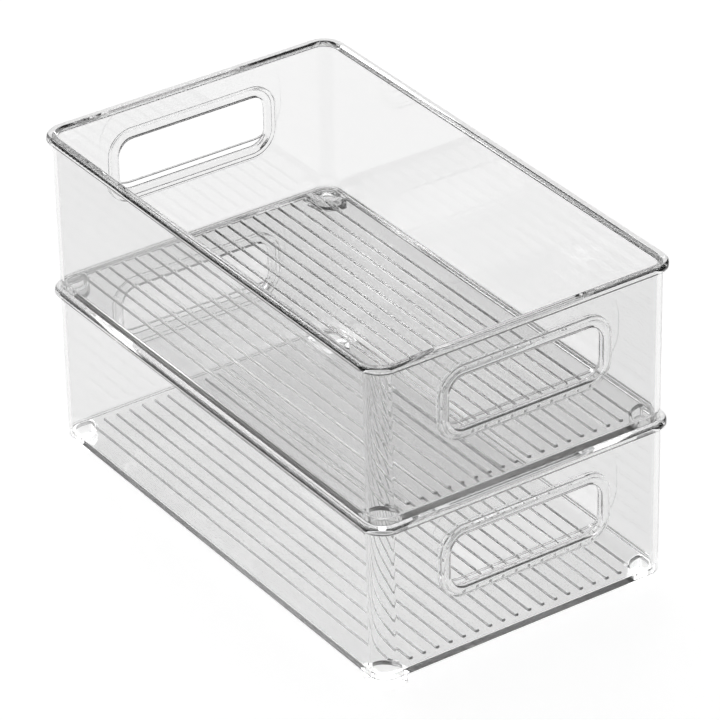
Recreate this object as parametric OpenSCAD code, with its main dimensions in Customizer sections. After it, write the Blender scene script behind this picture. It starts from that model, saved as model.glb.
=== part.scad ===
// Two identical clear bins, one stacked on the other.
// Each bin is a single moulding: rim, walls, ribbed floor, two handle slots and four hollow feet.
// The origin is on the ground, under the middle of the stack. X is across, Y is along, Z is up.

/* [Bin] */
// Width over the rim
bin_w = 152; // [120:1:240]
// Length over the rim
bin_l = 252; // [180:1:400]
// Height from the underside of the floor to the top of the rim
body_h = 75; // [65:1:140]
// Wall thickness
wall_t = 2.2; // [1.8:0.1:3]
// Floor thickness
floor_t = 2.3; // [1.8:0.1:3]
// Outer radius of the rim at the corners
corner_r = 11; // [10:0.5:16]
// How much each wall leans in from rim to floor
draft = 0.25; // [0:0.05:0.6]
// Radius where the walls meet the floor inside
floor_fillet = 1.5; // [0.5:0.1:2.5]

/* [Rim] */
// How far the rim stands out from the wall
rim_out = 2.5; // [2:0.1:4]
// Depth of the rim's outer edge
rim_h = 3; // [2.5:0.1:6]
// Radius of the rim's upper outer edge
rim_outer_r = 1.6; // [0.8:0.1:1.6]
// Radius of the rim's upper inner edge
rim_inner_r = 1; // [0.5:0.1:1]
// Radius of the rim's lower edge and of the floor's outer edge
edge_r = 0.4; // [0.2:0.1:0.5]

/* [Handle slots] */
// Width of each slot
slot_w = 76; // [50:1:90]
// Height of each slot
slot_h = 24.5; // [18:0.5:30]
// Corner radius of each slot
slot_r = 7; // [4:0.5:8]
// Distance from the rim's top down to the middle of the slot
slot_drop = 29.3; // [24:0.1:34]
// Width of the raised frame round the slot
frame_w = 5.2; // [3:0.1:6]
// How far the frame stands out from the wall's outer face
frame_out = 1.7; // [1:0.1:2]
// How far the frame stands in from the wall's inner face
frame_in = 0.7; // [0.3:0.1:1]
// Radius of the frame's outer edges
frame_r = 1.5; // [0.5:0.1:1.7]

/* [Floor ribs] */
// Number of ribs
rib_count = 19; // [5:2:25]
// Distance from the first rib to the last
rib_span = 120.6; // [60:0.1:124]
// Width of each rib
rib_w = 2.2; // [1.2:0.1:3]
// Height of each rib above the floor
rib_h = 1; // [0.5:0.1:1.5]
// Gap from the end wall to the ribs' ends
rib_gap = 4.6; // [3:0.1:20]

/* [Feet] */
// Height of the feet
foot_h = 5.5; // [3:0.1:7]
// Reach of each foot from the inner corner of the walls
foot_reach = 13.4; // [11:0.1:18]
// Plan radius of each foot's outer corner
foot_corner_r = 8; // [5:0.5:9]
// Gap between the feet and the rim of the bin below
foot_clearance = 0.35; // [0.3:0.05:1]
// Wall thickness of the hollow feet
foot_wall = 1.9; // [1.5:0.1:2.2]

/* [Stack] */
// Gap between the upper bin's floor and the lower bin's rim
seat_gap = 0.05; // [0:0.05:0.3]

/* [Hidden] */
$fn = 64;
clear_plastic = [0.87, 0.90, 0.91, 0.45];
arc_steps = 5;
overcut = 4;
half_w = bin_w / 2;
half_l = bin_l / 2;
// distances in from the rim's outer edge
wall_face_top = rim_out;
wall_face_base = rim_out + draft;
inner_face_top = rim_out + wall_t;
inner_face_base = inner_face_top + draft;
foot_inset = inner_face_top + draft * foot_h / body_h + foot_clearance;
// inner corner of the walls at floor level
corner_x = half_w - inner_face_base;
corner_y = half_l - inner_face_base;
rib_pitch = rib_span / (rib_count - 1);
rib_len = 2 * (corner_y - rib_gap);
slot_z = body_h - slot_drop;
stack_pitch = body_h + seat_gap;

// points of an arc round [x, y] from angle a0 to angle a1
function arc(x, y, r, a0, a1) =
    [for (i = [0:arc_steps]) let (a = a0 + (a1 - a0) * i / arc_steps) [x + r * cos(a), y + r * sin(a)]];

// sweeps a 2-D section round a rounded rectangle: the section's x is the distance from the
// corner centres, which keep their places, and its y is the height
module sweep_round(w, l, r) {
    cx = w / 2 - r;
    cy = l / 2 - r;
    for (c = [[1, 1, 0], [-1, 1, 90], [-1, -1, 180], [1, -1, 270]])
        translate([c[0] * cx, c[1] * cy, 0]) rotate(c[2]) rotate_extrude(angle = 90) children();
    for (s = [0, 180]) rotate(s) translate([cx, cy, 0]) rotate([90, 0, 0]) linear_extrude(2 * cy) children();
    for (s = [90, 270]) rotate(s) translate([cy, cx, 0]) rotate([90, 0, 0]) linear_extrude(2 * cx) children();
}

// a rounded rectangle in plan, set in from the rim's outer edge
module plan_inset(inset, r) {
    w = bin_w - 2 * inset;
    l = bin_l - 2 * inset;
    square([w - 2 * r, l], center = true);
    square([w, l - 2 * r], center = true);
    for (x = [-1, 1], y = [-1, 1]) translate([x * (w / 2 - r), y * (l / 2 - r)]) circle(r);
}

// section through rim, wall and the floor's edge
module tub_section() {
    rim_x = corner_r;
    floor_x = corner_r - wall_face_base;
    inner_x = corner_r - inner_face_base;
    polygon(concat(
        [[0, 0]],
        arc(floor_x - edge_r, edge_r, edge_r, -90, 0),
        [[corner_r - wall_face_top, body_h - rim_h]],
        arc(rim_x - edge_r, body_h - rim_h + edge_r, edge_r, -90, 0),
        arc(rim_x - rim_outer_r, body_h - rim_outer_r, rim_outer_r, 0, 90),
        arc(corner_r - inner_face_top + rim_inner_r, body_h - rim_inner_r, rim_inner_r, 90, 180),
        arc(inner_x - floor_fillet, floor_t + floor_fillet, floor_fillet, 0, -90),
        [[0, floor_t]]));
}

module tub() {
    sweep_round(bin_w, bin_l, corner_r) tub_section();
    translate([0, 0, floor_t / 2]) cube([bin_w - 2 * corner_r, bin_l - 2 * corner_r, floor_t], center = true);
}

// section of the raised frame before the slot is cut: x out from the slot's corner centre,
// y out of the wall
module frame_section() {
    back = -wall_t - frame_in;
    edge = slot_r + frame_w;
    polygon(concat(
        [[0, back]],
        arc(edge - edge_r, back + edge_r, edge_r, -90, 0),
        arc(edge - frame_r, frame_out - frame_r, frame_r, 0, 90),
        [[0, frame_out]]));
}

// the slot's own place on the end wall, its outer face towards -Y
module at_slot() {
    face_in = wall_face_base - draft * slot_z / body_h;
    translate([0, -half_l + face_in, slot_z]) rotate([90, 0, 0]) children();
}

module slot_frame() {
    depth = wall_t + frame_in + frame_out;
    at_slot() {
        sweep_round(slot_w, slot_h, slot_r) frame_section();
        translate([0, 0, frame_out - depth / 2])
            cube([slot_w - 2 * slot_r, slot_h - 2 * slot_r, depth], center = true);
    }
}

module slot_cut() {
    depth = wall_t + 2 * overcut;
    at_slot() translate([0, 0, -wall_t - overcut]) {
        translate([0, 0, depth / 2]) cube([slot_w - 2 * slot_r, slot_h, depth], center = true);
        translate([0, 0, depth / 2]) cube([slot_w, slot_h - 2 * slot_r, depth], center = true);
        for (x = [-1, 1], y = [-1, 1])
            translate([x * (slot_w / 2 - slot_r), y * (slot_h / 2 - slot_r), 0]) cylinder(r = slot_r, h = depth);
    }
}

module both_ends() {
    children();
    mirror([0, 1, 0]) children();
}

module ribs() {
    for (i = [0:rib_count - 1]) translate([-rib_span / 2 + i * rib_pitch, 0, floor_t - 0.5]) {
        translate([0, 0, (rib_h + 0.5) / 2])
            cube([rib_w, rib_len - rib_w, rib_h + 0.5], center = true);
        for (s = [-1, 1]) translate([0, s * (rib_len - rib_w) / 2, 0]) cylinder(d = rib_w, h = rib_h + 0.5);
    }
}

// four quarter-rounds, one round each inner corner of the walls
module corner_rounds(reach, inset, r) {
    intersection() {
        plan_inset(inset, r);
        for (x = [-1, 1], y = [-1, 1]) translate([x * corner_x, y * corner_y]) circle(reach);
    }
}

module feet() {
    translate([0, 0, -foot_h]) linear_extrude(foot_h + floor_t / 2) corner_rounds(foot_reach, foot_inset, foot_corner_r);
}

module foot_pockets() {
    pocket_r = foot_corner_r - foot_wall;
    translate([0, 0, foot_wall - foot_h]) linear_extrude(foot_h + floor_t)
        corner_rounds(foot_reach - foot_wall, foot_inset + foot_wall, pocket_r);
}

// one whole bin, with the underside of its floor at z = 0
module bin() {
    difference() {
        union() {
            difference() {
                union() {
                    tub();
                    both_ends() slot_frame();
                }
                both_ends() slot_cut();
            }
            ribs();
            feet();
        }
        foot_pockets();
    }
}

module lower_bin() {
    color(clear_plastic) translate([0, 0, foot_h]) bin();
}

module upper_bin() {
    color(clear_plastic) translate([0, 0, foot_h + stack_pitch]) bin();
}

lower_bin();
upper_bin();
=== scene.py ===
import math

import bmesh
import bpy
from mathutils import Matrix, Vector


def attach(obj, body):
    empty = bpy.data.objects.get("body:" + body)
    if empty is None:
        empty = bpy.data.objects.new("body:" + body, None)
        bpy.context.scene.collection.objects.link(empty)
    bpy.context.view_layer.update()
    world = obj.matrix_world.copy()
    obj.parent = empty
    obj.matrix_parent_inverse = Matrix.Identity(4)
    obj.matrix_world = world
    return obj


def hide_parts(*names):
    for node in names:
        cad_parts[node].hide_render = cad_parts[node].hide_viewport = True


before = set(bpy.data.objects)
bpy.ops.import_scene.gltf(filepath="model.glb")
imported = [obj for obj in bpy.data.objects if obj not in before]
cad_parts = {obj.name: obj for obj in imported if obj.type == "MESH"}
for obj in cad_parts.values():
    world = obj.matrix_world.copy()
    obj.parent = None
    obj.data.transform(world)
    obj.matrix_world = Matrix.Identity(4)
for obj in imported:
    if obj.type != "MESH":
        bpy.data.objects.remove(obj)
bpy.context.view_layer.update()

scene = bpy.context.scene
mm = 0.001

# Sizes are in millimetres, with the underside of a bin's floor at z = 0, until a finished bin is scaled to
# metres. A section is a list of (distance in from the outline, height).
weld = {"shape": 0.0005, "ring": 0.001}  # points nearer than this are merged


def arc(centre, radius, start, stop, steps):
    angles = [math.radians(start + (stop - start) * i / steps) for i in range(steps + 1)]
    return [(centre[0] + radius * math.cos(a), centre[1] + radius * math.sin(a)) for a in angles]


def newObject(name, bm):
    bmesh.ops.remove_doubles(bm, verts=bm.verts, dist=weld["shape"])
    bmesh.ops.recalc_face_normals(bm, faces=bm.faces)
    if bm.calc_volume(signed=True) < 0:
        bmesh.ops.reverse_faces(bm, faces=bm.faces)
    mesh = bpy.data.meshes.new(name)
    bm.to_mesh(mesh)
    bm.free()
    item = bpy.data.objects.new(name, mesh)
    scene.collection.objects.link(item)
    return item


quadrants = [(1, 1), (-1, 1), (-1, -1), (1, -1)]


def outline(bm, width, length, radii, steps):
    # one flat face with rounded corners, facing up; radii go round from the corner at +x +y
    before = set(bm.verts)
    bmesh.ops.create_grid(bm, x_segments=1, y_segments=1, size=0.5)
    corners = [v for v in bm.verts if v not in before]
    bmesh.ops.scale(bm, verts=corners, vec=(width, length, 1))
    corners.sort(key=lambda v: quadrants.index((math.copysign(1, v.co.x), math.copysign(1, v.co.y))))
    face = corners[0].link_faces[0]
    for corner, radius in zip(corners, radii):
        bmesh.ops.bevel(bm, geom=[corner], offset=radius, offset_type="OFFSET", segments=steps,
                        profile=0.5, affect="VERTICES", material=-1)
    made = [f for f in bm.faces if all(v not in before for v in f.verts)]
    return made[0]


def walk(bm, face, section):
    # insets the face from point to point of the section, and each step leaves a ring of faces behind
    facing = 1 if face.normal.z > 0 else -1
    for (inset, height), (nextInset, nextHeight) in zip(section, section[1:]):
        bmesh.ops.inset_region(bm, faces=[face], thickness=nextInset - inset,
                               depth=(nextHeight - height) * facing, use_even_offset=True)


def slab(bm, face, bottom, top):
    # thickens a flat face into a closed slab and gives back its (top, bottom) faces
    bmesh.ops.translate(bm, verts=face.verts, vec=(0, 0, bottom))
    grown = bmesh.ops.extrude_face_region(bm, geom=[face])["geom"]
    raised = [g for g in grown if isinstance(g, bmesh.types.BMVert)]
    bmesh.ops.translate(bm, verts=raised, vec=(0, 0, top - bottom))
    upper = next(g for g in grown if isinstance(g, bmesh.types.BMFace))
    upper.normal_update()
    face.normal_update()
    if face.normal.z > 0:
        face.normal_flip()
    return upper, face


def combine(target, other, operation):
    # joins or cuts two shapes for good; every one of them is closed
    step = target.modifiers.new(operation.lower(), "BOOLEAN")
    step.operation = operation
    step.object = other
    step.solver = "MANIFOLD"
    bpy.context.view_layer.update()
    finished = target.evaluated_get(bpy.context.evaluated_depsgraph_get())
    result = bpy.data.meshes.new_from_object(finished)
    target.modifiers.clear()
    target.data = result
    bpy.data.objects.remove(other)


tubSizes = {
    "width": 152.0, "length": 252.0, "height": 75.0, "cornerRadius": 11.0, "cornerSteps": 14,
    "wall": 2.2, "floor": 2.3, "draft": 0.25, "floorFillet": 1.6, "baseRadius": 0.8,
    "rimOut": 2.5, "rimDepth": 3.0, "rimOuterRadius": 1.8, "rimInnerRadius": 1.6, "rimLowerRadius": 0.6,
    "arcSteps": 6,
}
print("tub")
wallTop = tubSizes["rimOut"]
wallBase = wallTop + tubSizes["draft"]
innerTop = wallTop + tubSizes["wall"]
innerBase = innerTop + tubSizes["draft"]


def makeTub():
    s = tubSizes
    steps = s["arcSteps"]
    bm = bmesh.new()
    face = outline(bm, s["width"], s["length"], [s["cornerRadius"]] * 4, s["cornerSteps"])
    rimTop = s["height"]
    edgeLow = rimTop - s["rimDepth"] + s["rimLowerRadius"]
    edgeHigh = rimTop - s["rimOuterRadius"]
    upper, lower = slab(bm, face, edgeLow, edgeHigh)
    lip = s["rimInnerRadius"]
    fillet = s["floorFillet"]
    innerSection = (arc((s["rimOuterRadius"], edgeHigh), s["rimOuterRadius"], 180, 90, steps)
                    + arc((innerTop - lip, rimTop - lip), lip, 90, 0, steps)
                    + arc((innerBase + fillet, s["floor"] + fillet), fillet, 180, 270, steps))
    outerSection = (
        arc((s["rimLowerRadius"], edgeLow), s["rimLowerRadius"], 180, 270, steps)
        + [(wallTop, rimTop - s["rimDepth"])]
        + arc((wallBase + s["baseRadius"], s["baseRadius"]), s["baseRadius"], 180, 270, steps))
    walk(bm, upper, innerSection)
    walk(bm, lower, outerSection)
    return newObject("tub", bm)


handleSizes = {
    "width": 76.0, "height": 24.5, "radius": 7.0, "drop": 29.3, "cornerSteps": 12, "arcSteps": 7,
    "frameWidth": 5.2, "frameOut": 1.7, "frameIn": 0.7, "stepOut": 0.8, "stepRadius": 0.7, "stepWidth": 1.5,
    "outerRadius": 0.8, "slotRadius": 1.6, "backRadius": 0.6,
    "cutReach": 3.0,  # how far the slot's cutter runs past the frame on each side
    # the fine line that the mould's insert leaves round the handle
    "lineHalfWidth": 47.0, "lineTop": 74.0, "lineBottom": 36.4, "lineRadius": 15.0, "lineWidth": 0.45,
    "lineOut": 0.1,
}


def ring(width, height, radius, steps, front, back):
    # a closed ring: its front and back are walked in to the same flat face, which is then taken out
    bm = bmesh.new()
    face = outline(bm, width, height, [radius] * 4, steps)
    upper, lower = slab(bm, face, back[0][1], front[0][1])
    walk(bm, upper, front)
    walk(bm, lower, back)
    bmesh.ops.delete(bm, geom=[upper, lower], context="FACES")
    bmesh.ops.remove_doubles(bm, verts=bm.verts, dist=weld["ring"])
    return bm


def onEndWall(bm, z):
    # stands a shape drawn flat up on the front wall, its top side outwards
    lean = math.atan(tubSizes["draft"] / tubSizes["height"])
    faceIn = wallBase - tubSizes["draft"] * z / tubSizes["height"]
    bmesh.ops.rotate(bm, verts=bm.verts, cent=(0, 0, 0), matrix=Matrix.Rotation(math.pi / 2 + lean, 3, "X"))
    bmesh.ops.translate(bm, verts=bm.verts, vec=(0, faceIn - tubSizes["length"] / 2, z))


def bothEnds(bm):
    kept = bm.verts[:] + bm.edges[:] + bm.faces[:]
    copied = bmesh.ops.duplicate(bm, geom=kept)["geom"]
    verts = [g for g in copied if isinstance(g, bmesh.types.BMVert)]
    bmesh.ops.rotate(bm, verts=verts, cent=(0, 0, 0), matrix=Matrix.Rotation(math.pi, 3, "Z"))


def addHandles(tub):
    s = handleSizes
    steps = s["arcSteps"]
    z = tubSizes["height"] - s["drop"]
    middle = -tubSizes["wall"] / 2
    band = s["frameWidth"]
    outEdge = s["frameOut"] - s["outerRadius"]
    slotEdge = s["frameOut"] - s["slotRadius"]
    backEdge = -tubSizes["wall"] - s["frameIn"]

    # slot through the wall, along the middle of the band that will frame it
    bm = bmesh.new()
    face = outline(bm, s["width"] + band, s["height"] + band, [s["radius"] + band / 2] * 4, s["cornerSteps"])
    slab(bm, face, backEdge - s["cutReach"], s["frameOut"] + s["cutReach"])
    onEndWall(bm, z)
    bothEnds(bm)
    combine(tub, newObject("slot", bm), "DIFFERENCE")

    lowEdge = s["stepOut"] - s["stepRadius"]
    front = (arc((s["stepRadius"], lowEdge), s["stepRadius"], 180, 90, steps)
             + arc((s["stepWidth"] + s["outerRadius"], outEdge), s["outerRadius"], 180, 90, steps)
             + arc((band - s["slotRadius"], slotEdge), s["slotRadius"], 90, 0, steps) + [(band, middle)])
    back = (arc((s["backRadius"], backEdge + s["backRadius"]), s["backRadius"], 180, 270, steps)
            + arc((band - s["slotRadius"], backEdge + s["slotRadius"]), s["slotRadius"], 270, 360, steps)
            + [(band, middle)])
    bm = ring(s["width"] + 2 * band, s["height"] + 2 * band, s["radius"] + band, s["cornerSteps"],
              front, back)
    onEndWall(bm, z)
    bothEnds(bm)
    combine(tub, newObject("frame", bm), "UNION")

    lineHeight = s["lineTop"] - s["lineBottom"]
    lineZ = (s["lineTop"] + s["lineBottom"]) / 2
    front = [(0, s["lineOut"]), (s["lineWidth"], s["lineOut"]), (s["lineWidth"], middle)]
    back = [(0, 2 * middle / 3), (s["lineWidth"], 2 * middle / 3), (s["lineWidth"], middle)]
    bm = ring(2 * s["lineHalfWidth"], lineHeight, s["lineRadius"], s["cornerSteps"], front, back)
    onEndWall(bm, lineZ)
    bothEnds(bm)
    combine(tub, newObject("mouldLine", bm), "UNION")


ribSizes = {
    "count": 19, "span": 120.6, "width": 2.2, "height": 1.0,
    "gap": 4.6,  # from the end wall to a rib's end
    "endRadius": 1.0, "topRadius": 0.75, "steps": 6, "buried": 0.6,
}


def addRibs(tub):
    s = ribSizes
    length = tubSizes["length"] - 2 * (innerBase + s["gap"])
    low = tubSizes["floor"] - s["buried"]
    top = tubSizes["floor"] + s["height"]
    bm = bmesh.new()
    for i in range(s["count"]):
        before = set(bm.verts)
        face = outline(bm, s["width"], length, [s["endRadius"]] * 4, s["steps"])
        upper = slab(bm, face, low, top - s["topRadius"])[0]
        walk(bm, upper, arc((s["topRadius"], top - s["topRadius"]), s["topRadius"], 180, 90, s["steps"]))
        fresh = [v for v in bm.verts if v not in before]
        x = (i / (s["count"] - 1) - 0.5) * s["span"]
        bmesh.ops.translate(bm, verts=fresh, vec=(x, 0, 0))
    combine(tub, newObject("ribs", bm), "UNION")


footSizes = {
    "height": 5.5, "wall": 1.9,
    "clearance": 0.37,  # to the inside of the rim that the foot stands in
    "reach": 13.4,  # how far the foot comes in along the floor from the wall's inner face
    "outerRadius": 5.8, "innerRadius": 12.0, "sideRadius": 0.9, "bottomRadius": 0.5,
    "pocketOuterRadius": 4.4, "pocketInnerRadius": 7.9, "pocketSideRadius": 1.2,
    "flare": 0.5, "pocketFillet": 0.9, "steps": 10, "arcSteps": 5,
    "cutAbove": 0.02, "cutReach": 3.0,  # where the pocket's cutter starts above the floor, and its height
}


def addFeet(tub):
    s = footSizes
    steps = s["arcSteps"]
    inset = innerTop + tubSizes["draft"] * s["height"] / tubSizes["height"] + s["clearance"]
    side = innerBase + s["reach"] - inset
    cornerX = tubSizes["width"] / 2
    cornerY = tubSizes["length"] / 2

    def atCorners(make):
        bm = bmesh.new()
        for turn, (sx, sy) in enumerate(quadrants):
            before = set(bm.verts)
            middle = make(bm, turn)
            fresh = [v for v in bm.verts if v not in before]
            bmesh.ops.translate(bm, verts=fresh, vec=(sx * (cornerX - middle), sy * (cornerY - middle), 0))
        return bm

    def radiiFor(turn, outer, inner, small):
        radii = [outer, small, inner, small]
        return radii[-turn:] + radii[:-turn] if turn else radii

    def foot(bm, turn):
        radii = radiiFor(turn, s["outerRadius"], s["innerRadius"], s["sideRadius"])
        face = outline(bm, side, side, radii, s["steps"])
        edge = s["bottomRadius"] - s["height"]
        lower = slab(bm, face, edge, tubSizes["floor"] / 2)[1]
        walk(bm, lower, arc((s["bottomRadius"], edge), s["bottomRadius"], 180, 270, steps))
        return inset + side / 2

    def pocket(bm, turn):
        flare = s["flare"]
        radii = radiiFor(turn, s["pocketOuterRadius"] + flare, s["pocketInnerRadius"] + flare,
                         s["pocketSideRadius"] + flare)
        width = side - 2 * s["wall"] + 2 * flare
        face = outline(bm, width, width, radii, s["steps"])
        top = tubSizes["floor"] + s["cutAbove"]
        lower = slab(bm, face, top, top + s["cutReach"])[1]
        fillet = s["pocketFillet"]
        bottom = s["wall"] - s["height"]
        walk(bm, lower, arc((0, top - flare), flare, 90, 0, steps)
             + arc((flare + fillet, bottom + fillet), fillet, 180, 270, steps))
        return inset + side / 2

    combine(tub, newObject("feet", atCorners(foot)), "UNION")
    combine(tub, newObject("pockets", atCorners(pocket)), "DIFFERENCE")


tub = makeTub()
print("handles")
addHandles(tub)
print("ribs")
addRibs(tub)
print("feet")
addFeet(tub)

stackPitch = 75.05  # from one bin to the next, once the feet stand inside the rim
finish = {"sharpAngle": 38, "normalWeight": 60}


def cleanUp(mesh):
    bm = bmesh.new()
    bm.from_mesh(mesh)
    bmesh.ops.dissolve_degenerate(bm, dist=weld["shape"], edges=bm.edges)
    bmesh.ops.recalc_face_normals(bm, faces=bm.faces)
    loose = [e for e in bm.edges if not e.is_manifold]
    print("open edges", len(loose), "faces", len(bm.faces))
    bm.to_mesh(mesh)
    bm.free()


cleanUp(tub.data)
print("bins")
shown = []
for level, node in enumerate(["lower_bin", "upper_bin"]):
    mesh = tub.data.copy()
    rise = footSizes["height"] + level * stackPitch
    mesh.transform(Matrix.Scale(mm, 4) @ Matrix.Translation((0, 0, rise)))
    mesh.polygons.foreach_set("use_smooth", [True] * len(mesh.polygons))
    mesh.set_sharp_from_angle(angle=math.radians(finish["sharpAngle"]))
    mesh.name = node + "Mesh"
    piece = bpy.data.objects.new("clear" + node.split("_")[0].capitalize() + "Bin", mesh)
    scene.collection.objects.link(piece)
    weigh = piece.modifiers.new("weightedNormals", "WEIGHTED_NORMAL")
    weigh.keep_sharp = True
    weigh.mode = "FACE_AREA"
    weigh.weight = finish["normalWeight"]
    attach(piece, node)
    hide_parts(node)
    shown.append(piece)
bpy.data.objects.remove(tub)

print("plastic")
petLook = {
    "tint": "#F1F1F1", "ior": 1.575, "roughness": 0.0,
    "waveLength": 41.67, "waveHeight": 0.02, "waveStrength": 0.25, "waveDetail": 1.5, "waveRoughness": 0.4,
}


def linear(hexColour):
    values = [int(hexColour[i:i + 2], 16) / 255 for i in (1, 3, 5)]
    return [v / 12.92 if v <= 0.04045 else ((v + 0.055) / 1.055) ** 2.4 for v in values] + [1.0]


def addNode(tree, kind, settings=None, inputs=None, links=None):
    node = tree.nodes.new(kind)
    for name, value in (settings or {}).items():
        setattr(node, name, value)
    for name, value in (inputs or {}).items():
        node.inputs[name].default_value = value
    for name, output in (links or {}).items():
        tree.links.new(output, node.inputs[name])
    return node


def makePet():
    # clear from a polished mould: each wall greys what is behind it a little, rims and edges gather light and
    # dark into fine lines, and long shallow flow waves make straight lines seen through it waver slightly
    s = petLook
    material = bpy.data.materials.new("PET, injection moulded clear")
    material.use_nodes = True
    tree = material.node_tree
    shader = tree.nodes["Principled BSDF"]
    shader.inputs["Base Color"].default_value = linear(s["tint"])
    shader.inputs["Transmission Weight"].default_value = 1.0
    shader.inputs["IOR"].default_value = s["ior"]
    shader.inputs["Roughness"].default_value = s["roughness"]
    place = addNode(tree, "ShaderNodeTexCoord")
    flow = addNode(tree, "ShaderNodeTexNoise",
                   inputs={"Scale": 1 / (s["waveLength"] * mm), "Detail": s["waveDetail"],
                           "Roughness": s["waveRoughness"]},
                   links={"Vector": place.outputs["Object"]})
    ripple = addNode(tree, "ShaderNodeBump",
                     inputs={"Strength": s["waveStrength"], "Distance": s["waveHeight"] * mm},
                     links={"Height": flow.outputs["Fac"]})
    tree.links.new(ripple.outputs["Normal"], shader.inputs["Normal"])
    return material


pet = makePet()
for piece in shown:
    piece.data.materials.clear()
    piece.data.materials.append(pet)

print("studio")
studio = {
    "floorSize": 12.0, "paperColour": "#F3F3F3", "paperRoughness": 0.9,
    # the paper is lit evenly from below as well, so that it stays white to the edges
    "glowColour": "#FFFFFF", "paperGlow": 0.86,
    "skyColour": "#FFFFFF", "skyStrength": 0.02, "aim": (0, 0, 0.08),
    "softboxes": [
        # name, place, width and height, power; each is turned to the aim
        {"name": "ceiling", "at": (0.0, 0.0, 1.5), "size": (2.4, 2.4), "power": 5},
        {"name": "backStrip", "at": (0.3, 1.4, 1.4), "size": (2.4, 0.12), "power": 4},
    ],
}


def makePaper():
    # uncoated and matt: an even white, with no shine
    s = studio
    material = bpy.data.materials.new("paper, matt white")
    material.use_nodes = True
    shader = material.node_tree.nodes["Principled BSDF"]
    shader.inputs["Base Color"].default_value = linear(s["paperColour"])
    shader.inputs["Roughness"].default_value = s["paperRoughness"]
    shader.inputs["Specular IOR Level"].default_value = 0.0
    shader.inputs["Emission Color"].default_value = linear(s["glowColour"])
    shader.inputs["Emission Strength"].default_value = s["paperGlow"]
    return material


def makeFloor():
    bm = bmesh.new()
    bmesh.ops.create_grid(bm, x_segments=1, y_segments=1, size=studio["floorSize"] / 2)
    mesh = bpy.data.meshes.new("floor")
    bm.to_mesh(mesh)
    bm.free()
    mesh.materials.append(makePaper())
    floor = bpy.data.objects.new("floor", mesh)
    scene.collection.objects.link(floor)


def makeSoftbox(box):
    light = bpy.data.lights.new(box["name"], "AREA")
    light.shape = "RECTANGLE"
    light.size, light.size_y = box["size"]
    light.energy = box["power"]
    lamp = bpy.data.objects.new(box["name"], light)
    scene.collection.objects.link(lamp)
    lamp.location = box["at"]
    lamp.rotation_euler = (Vector(studio["aim"]) - Vector(box["at"])).to_track_quat("-Z", "Y").to_euler()


makeFloor()
for box in studio["softboxes"]:
    makeSoftbox(box)
world = bpy.data.worlds.new("studio")
scene.world = world
world.use_nodes = True
sky = world.node_tree.nodes["Background"]
sky.inputs["Color"].default_value = linear(studio["skyColour"])
sky.inputs["Strength"].default_value = studio["skyStrength"]

# light turns many corners inside the rims and feet, and too few bounces leave them black
clearPlasticBounces = 40
scene.view_settings.view_transform = "Standard"
scene.cycles.max_bounces = clearPlasticBounces
scene.cycles.transmission_bounces = clearPlasticBounces
scene.cycles.glossy_bounces = clearPlasticBounces
scene.cycles.diffuse_bounces = 4
scene.cycles.transparent_max_bounces = 16
scene.cycles.use_adaptive_sampling = True
scene.cycles.adaptive_threshold = 0.04

print("camera")
# angles in degrees, places in metres, lens and sensor in millimetres
view = {
    "azimuth": -34.02, "elevation": 30.97, "roll": -1.19,
    "distance": 2.07933, "slide": (0.00413, -0.06778), "middle": 0.15385,
    "lens": 249.62, "sensor": 36, "clipEnd": 50,
}


def makeCamera():
    azimuth, elevation, roll = (math.radians(view[k]) for k in ("azimuth", "elevation", "roll"))
    back = Vector((math.sin(azimuth) * math.cos(elevation), -math.cos(azimuth) * math.cos(elevation),
                   math.sin(elevation)))
    level = Vector((math.cos(azimuth), math.sin(azimuth), 0))
    upright = back.cross(level)
    right = math.cos(roll) * level + math.sin(roll) * upright
    up = math.cos(roll) * upright - math.sin(roll) * level
    slideRight, slideUp = view["slide"]
    place = Vector((0, 0, view["middle"])) + back * view["distance"] + right * slideRight + up * slideUp
    lens = bpy.data.cameras.new("camera")
    lens.lens = view["lens"]
    lens.sensor_width = view["sensor"]
    lens.clip_end = view["clipEnd"]
    camera = bpy.data.objects.new("camera", lens)
    scene.collection.objects.link(camera)
    camera.matrix_world = Matrix.Translation(place) @ Matrix((right, up, back)).transposed().to_4x4()
    return camera


scene.camera = makeCamera()
